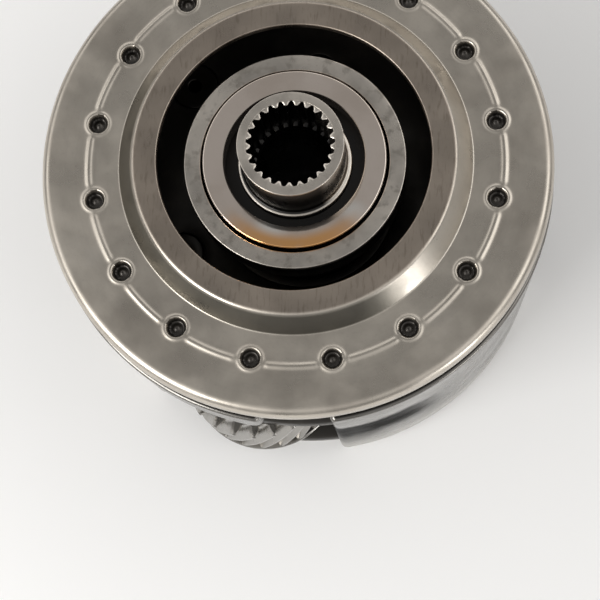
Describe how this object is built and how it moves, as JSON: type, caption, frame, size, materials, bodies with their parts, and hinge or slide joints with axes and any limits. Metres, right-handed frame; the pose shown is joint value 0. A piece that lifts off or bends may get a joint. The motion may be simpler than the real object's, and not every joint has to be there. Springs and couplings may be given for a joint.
{
  "type": "planetary gear set",
  "caption": "Compound planetary gear carrier: dimpled cover plate, splined centre hub, drum with windows, long and short helical planets meshing two sun gears.",
  "frame": {"origin": "on the rotation axis, in the plane of the back carrier plate's outer face", "axes": "+Z along the rotation axis towards the splined hub's nose, -Y towards the lower edge of the front face"},
  "size_m": [0.1585, 0.1577, 0.1085],
  "materials": {
    "pressed_steel": "pressed and ground sheet steel, warm grey, light wear",
    "drum_steel": "drawn sheet steel, semi-gloss",
    "dark_steel": "dark oily steel",
    "turned_steel": "fine turned steel",
    "polished_steel": "lapped running face with a straw tint",
    "gear_steel": "ground gear steel",
    "bronze": "plain bearing bronze"
  },
  "bodies": {
    "carrier": {"cover_plate": "pressed_steel", "cover_seat_ring": "dark_steel", "inner_drum": "dark_steel", "carrier_drum": "drum_steel", "front_carrier_plate": "dark_steel", "back_carrier_plate": "drum_steel", "front_bush": "bronze", "back_bush": "bronze", "small_sun_washer": "bronze", "long_pin_1": "turned_steel", "long_pin_2": "turned_steel", "long_pin_3": "turned_steel", "long_washer_front_1": "bronze", "long_washer_front_2": "bronze", "long_washer_front_3": "bronze", "long_washer_back_1": "bronze", "long_washer_back_2": "bronze", "long_washer_back_3": "bronze", "short_pin_1": "turned_steel", "short_pin_2": "turned_steel", "short_pin_3": "turned_steel", "short_washer_front_1": "bronze", "short_washer_front_2": "bronze", "short_washer_front_3": "bronze", "short_washer_back_1": "bronze", "short_washer_back_2": "bronze", "short_washer_back_3": "bronze", "short_spacer_1": "dark_steel", "short_spacer_2": "dark_steel", "short_spacer_3": "dark_steel"},
    "large_sun": {"splined_hub": "turned_steel", "thrust_race": "polished_steel", "large_sun_gear": "gear_steel", "sun_washer": "bronze", "hub_snap_ring": "dark_steel"},
    "small_sun": {"small_sun_gear": "gear_steel"},
    "long_planet_1": {"long_planet_1": "gear_steel", "long_bush_1": "bronze"},
    "short_planet_1": {"short_planet_1": "gear_steel", "short_bush_1": "bronze"},
    "long_planet_2": {"long_planet_2": "gear_steel", "long_bush_2": "bronze"},
    "short_planet_2": {"short_planet_2": "gear_steel", "short_bush_2": "bronze"},
    "long_planet_3": {"long_planet_3": "gear_steel", "long_bush_3": "bronze"},
    "short_planet_3": {"short_planet_3": "gear_steel", "short_bush_3": "bronze"}
  },
  "joints": [
    {"name": "large_sun_spin", "type": "hinge", "parent": "carrier", "child": "large_sun", "pos_m": [0, 0, 0.044], "axis": [0, 0, 1], "continuous": true},
    {"name": "small_sun_spin", "type": "hinge", "parent": "carrier", "child": "small_sun", "pos_m": [0, 0, 0.0155], "axis": [0, 0, 1], "continuous": true},
    {"name": "long_planet_1_spin", "type": "hinge", "parent": "carrier", "child": "long_planet_1", "pos_m": [-0.01562, -0.05274, 0.024], "axis": [0, 0, 1], "continuous": true},
    {"name": "short_planet_1_spin", "type": "hinge", "parent": "carrier", "child": "short_planet_1", "pos_m": [-0.03993, -0.01848, 0.016], "axis": [0, 0, 1], "continuous": true},
    {"name": "long_planet_2_spin", "type": "hinge", "parent": "carrier", "child": "long_planet_2", "pos_m": [0.05348, 0.01284, 0.024], "axis": [0, 0, 1], "continuous": true},
    {"name": "short_planet_2_spin", "type": "hinge", "parent": "carrier", "child": "short_planet_2", "pos_m": [0.03597, -0.02534, 0.016], "axis": [0, 0, 1], "continuous": true},
    {"name": "long_planet_3_spin", "type": "hinge", "parent": "carrier", "child": "long_planet_3", "pos_m": [-0.03786, 0.0399, 0.024], "axis": [0, 0, 1], "continuous": true},
    {"name": "short_planet_3_spin", "type": "hinge", "parent": "carrier", "child": "short_planet_3", "pos_m": [0.00396, 0.04382, 0.016], "axis": [0, 0, 1], "continuous": true}
  ],
  "couplings": [
    {"joint": "small_sun_spin", "follows": "large_sun_spin", "ratio": -1.1923},
    {"joint": "long_planet_1_spin", "follows": "large_sun_spin", "ratio": -1.2917},
    {"joint": "short_planet_1_spin", "follows": "large_sun_spin", "ratio": 1.7222},
    {"joint": "long_planet_2_spin", "follows": "large_sun_spin", "ratio": -1.2917},
    {"joint": "short_planet_2_spin", "follows": "large_sun_spin", "ratio": 1.7222},
    {"joint": "long_planet_3_spin", "follows": "large_sun_spin", "ratio": -1.2917},
    {"joint": "short_planet_3_spin", "follows": "large_sun_spin", "ratio": 1.7222}
  ]
}
